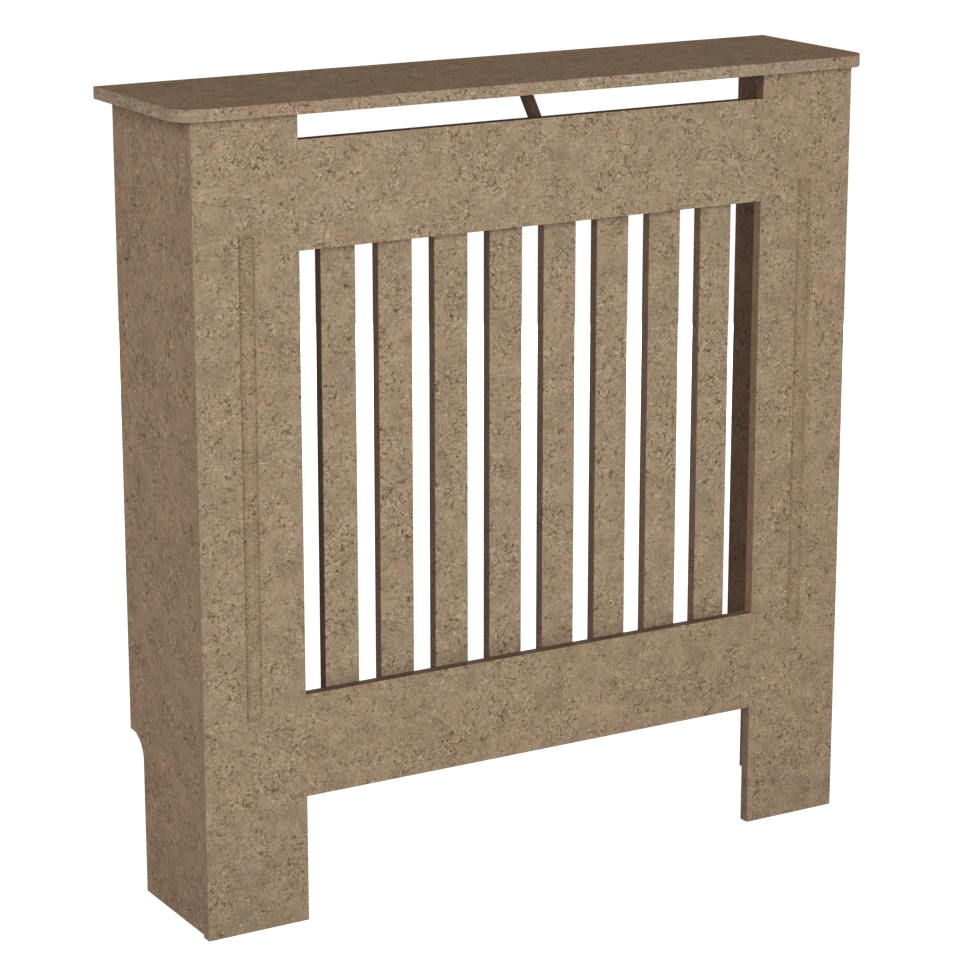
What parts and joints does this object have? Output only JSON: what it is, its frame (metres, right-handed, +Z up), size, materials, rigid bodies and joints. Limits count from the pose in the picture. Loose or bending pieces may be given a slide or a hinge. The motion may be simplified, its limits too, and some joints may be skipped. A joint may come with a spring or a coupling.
{
  "type": "radiator cover cabinet",
  "caption": "Open-backed radiator cover in raw MDF: slatted front frame with grooved stiles, side panels notched for the skirting board, and a shelf above an air vent.",
  "frame": {"origin": "centre of the footprint, on the floor", "axes": "+X to the right seen from the front, +Y towards the wall behind, +Z up"},
  "size_m": [0.78, 0.19, 0.816],
  "materials": {
    "raw_mdf": "raw, unpainted",
    "softwood": "planed",
    "beech": "turned",
    "yellow_zinc_screw": "yellow zinc plate",
    "zinc_plated_steel": "bright zinc plate"
  },
  "bodies": {
    "root": {"top_shelf": "raw_mdf", "left_side_panel": "raw_mdf", "right_side_panel": "raw_mdf", "left_stile": "raw_mdf", "right_stile": "raw_mdf", "top_rail": "raw_mdf", "bottom_rail": "raw_mdf", "slat_1": "raw_mdf", "slat_2": "raw_mdf", "slat_3": "raw_mdf", "slat_4": "raw_mdf", "slat_5": "raw_mdf", "slat_6": "raw_mdf", "slat_7": "raw_mdf", "slat_8": "raw_mdf", "shelf_strut": "raw_mdf", "left_corner_batten": "softwood", "right_corner_batten": "softwood", "left_shelf_cleat": "softwood", "right_shelf_cleat": "softwood", "rail_dowels": "beech", "corner_batten_screws": "yellow_zinc_screw", "shelf_cleat_screws": "yellow_zinc_screw", "slat_screws": "yellow_zinc_screw", "wall_bracket_screws": "yellow_zinc_screw", "left_wall_bracket": "zinc_plated_steel", "right_wall_bracket": "zinc_plated_steel", "strut_pins": "zinc_plated_steel"}
  },
  "joints": []
}
